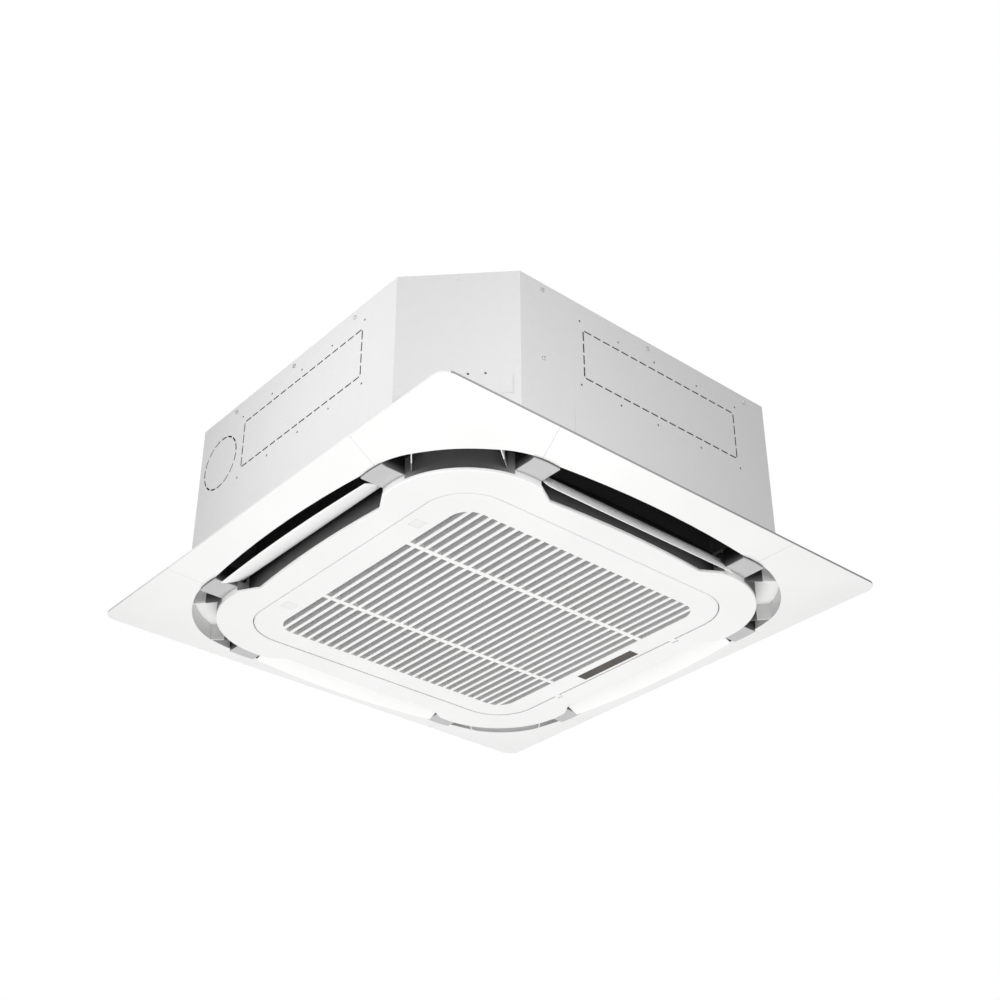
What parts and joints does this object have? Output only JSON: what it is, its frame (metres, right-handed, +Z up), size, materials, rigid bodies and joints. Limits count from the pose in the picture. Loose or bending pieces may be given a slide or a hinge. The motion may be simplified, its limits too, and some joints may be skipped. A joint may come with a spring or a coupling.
{
  "type": "ceiling cassette air conditioner",
  "caption": "Four-way ceiling cassette air conditioner: square panel with swinging louvres, hinged slatted intake grille, octagonal steel casing with fan, coil, drain pump and control box.",
  "frame": {"origin": "centre of the four hanger bolt holes, at the underside of the hanger plates", "axes": "+Z up towards the ceiling slab, +X towards the grille's hinge side and the drain outlet, +Y completing the frame"},
  "size_m": [0.95, 0.95, 0.3619],
  "materials": {
    "casing_steel": "satin",
    "zinc_steel": "satin",
    "panel_white": "fine matt",
    "guide_grey": "matt",
    "foam_charcoal": "beaded foam",
    "black_foam": "open foam",
    "fan_plastic": "satin",
    "rubber_black": "matt",
    "hose_grey": "satin",
    "motor_grey": "satin",
    "fin_aluminium": "bare",
    "copper": "bare",
    "brass": "bare",
    "window_brown": "gloss",
    "board_green": "matt",
    "filter_grey": "matt",
    "spring_steel": "bare"
  },
  "bodies": {
    "root": {"air_guide": "guide_grey", "bell_mouth": "fan_plastic", "cable_grommet": "rubber_black", "casing_screws": "zinc_steel", "casing_wrap_left": "casing_steel", "casing_wrap_right": "casing_steel", "coil_end_plates": "zinc_steel", "coil_fins": "fin_aluminium", "coil_tubes": "copper", "control_board": "board_green", "control_box": "zinc_steel", "control_cover": "zinc_steel", "drain_hose": "hose_grey", "drain_outlet": "hose_grey", "drain_pan": "foam_charcoal", "float_stem": "fan_plastic", "foam_seal": "black_foam", "gas_pipe": "copper", "gas_union": "brass", "hanger_brackets": "zinc_steel", "insulation_liner": "foam_charcoal", "liquid_pipe": "copper", "liquid_union": "brass", "louvre_bushes": "guide_grey", "louvre_motors": "guide_grey", "motor_bracket": "zinc_steel", "motor_case": "motor_grey", "motor_dampers": "rubber_black", "motor_nuts": "zinc_steel", "panel_frame": "panel_white", "panel_screws": "zinc_steel", "pipe_cover": "casing_steel", "pump_bracket": "zinc_steel", "pump_housing": "fan_plastic", "pump_motor": "fan_plastic", "terminal_block": "fan_plastic", "top_plate": "casing_steel"},
    "fan": {"motor_shaft": "zinc_steel", "turbo_fan": "fan_plastic", "fan_nut": "zinc_steel"},
    "louvre_right": {"louvre_right": "panel_white"},
    "louvre_back": {"louvre_back": "panel_white"},
    "louvre_left": {"louvre_left": "panel_white"},
    "louvre_front": {"louvre_front": "panel_white"},
    "grille": {"grille": "panel_white", "filter_frame": "filter_grey", "filter_net": "filter_grey", "display_window": "window_brown", "receiver_board": "board_green", "latch_spring_back": "spring_steel", "latch_spring_front": "spring_steel"},
    "latch_back": {"latch_button_back": "panel_white"},
    "latch_front": {"latch_button_front": "panel_white"},
    "pump_rotor": {"pump_impeller": "fan_plastic"},
    "float": {"float_ring": "fan_plastic"},
    "cover_far": {"corner_cover_far": "panel_white"},
    "cover_left": {"corner_cover_left": "panel_white"},
    "cover_near": {"corner_cover_near": "panel_white"},
    "cover_right": {"corner_cover_right": "panel_white"}
  },
  "joints": [
    {"name": "fan_spin", "type": "hinge", "parent": "root", "child": "fan", "pos_m": [0, 0, 0.13], "axis": [0, 0, 1], "continuous": true},
    {"name": "louvre_right_tilt", "type": "hinge", "parent": "root", "child": "louvre_right", "pos_m": [0.362, 0, -0.058], "axis": [0, 1, 0], "range_deg": [-15, 35]},
    {"name": "louvre_back_tilt", "type": "hinge", "parent": "root", "child": "louvre_back", "pos_m": [0, 0.362, -0.058], "axis": [-1, 0, 0], "range_deg": [-15, 35]},
    {"name": "louvre_left_tilt", "type": "hinge", "parent": "root", "child": "louvre_left", "pos_m": [-0.362, 0, -0.058], "axis": [0, -1, 0], "range_deg": [-16, 34]},
    {"name": "louvre_front_tilt", "type": "hinge", "parent": "root", "child": "louvre_front", "pos_m": [0, -0.362, -0.058], "axis": [1, 0, 0], "range_deg": [-39, 11]},
    {"name": "grille_hinge", "type": "hinge", "parent": "root", "child": "grille", "pos_m": [0.312, 0, -0.0855], "axis": [0, -1, 0], "range_deg": [0, 85]},
    {"name": "latch_back_press", "type": "slide", "parent": "grille", "child": "latch_back", "axis": [0, 0, 1], "range_m": [0, 0.003], "stiffness_N_per_m": 2000, "springref_m": -0.001, "deforming": ["latch_spring_back"]},
    {"name": "latch_front_press", "type": "slide", "parent": "grille", "child": "latch_front", "axis": [0, 0, 1], "range_m": [0, 0.003], "stiffness_N_per_m": 2000, "springref_m": -0.001, "deforming": ["latch_spring_front"]},
    {"name": "pump_spin", "type": "hinge", "parent": "root", "child": "pump_rotor", "pos_m": [0.245, 0.235, 0.04], "axis": [0, 0, 1], "continuous": true},
    {"name": "float_rise", "type": "slide", "parent": "root", "child": "float", "axis": [0, 0, 1], "range_m": [0, 0.01]},
    {"name": "cover_far_pull", "type": "slide", "parent": "root", "child": "cover_far", "axis": [0, 0, -1], "range_m": [0, 0.06]},
    {"name": "cover_left_pull", "type": "slide", "parent": "root", "child": "cover_left", "axis": [0, 0, -1], "range_m": [0, 0.06]},
    {"name": "cover_near_pull", "type": "slide", "parent": "root", "child": "cover_near", "axis": [0, 0, -1], "range_m": [0, 0.06]},
    {"name": "cover_right_pull", "type": "slide", "parent": "root", "child": "cover_right", "axis": [0, 0, -1], "range_m": [0, 0.06]}
  ]
}
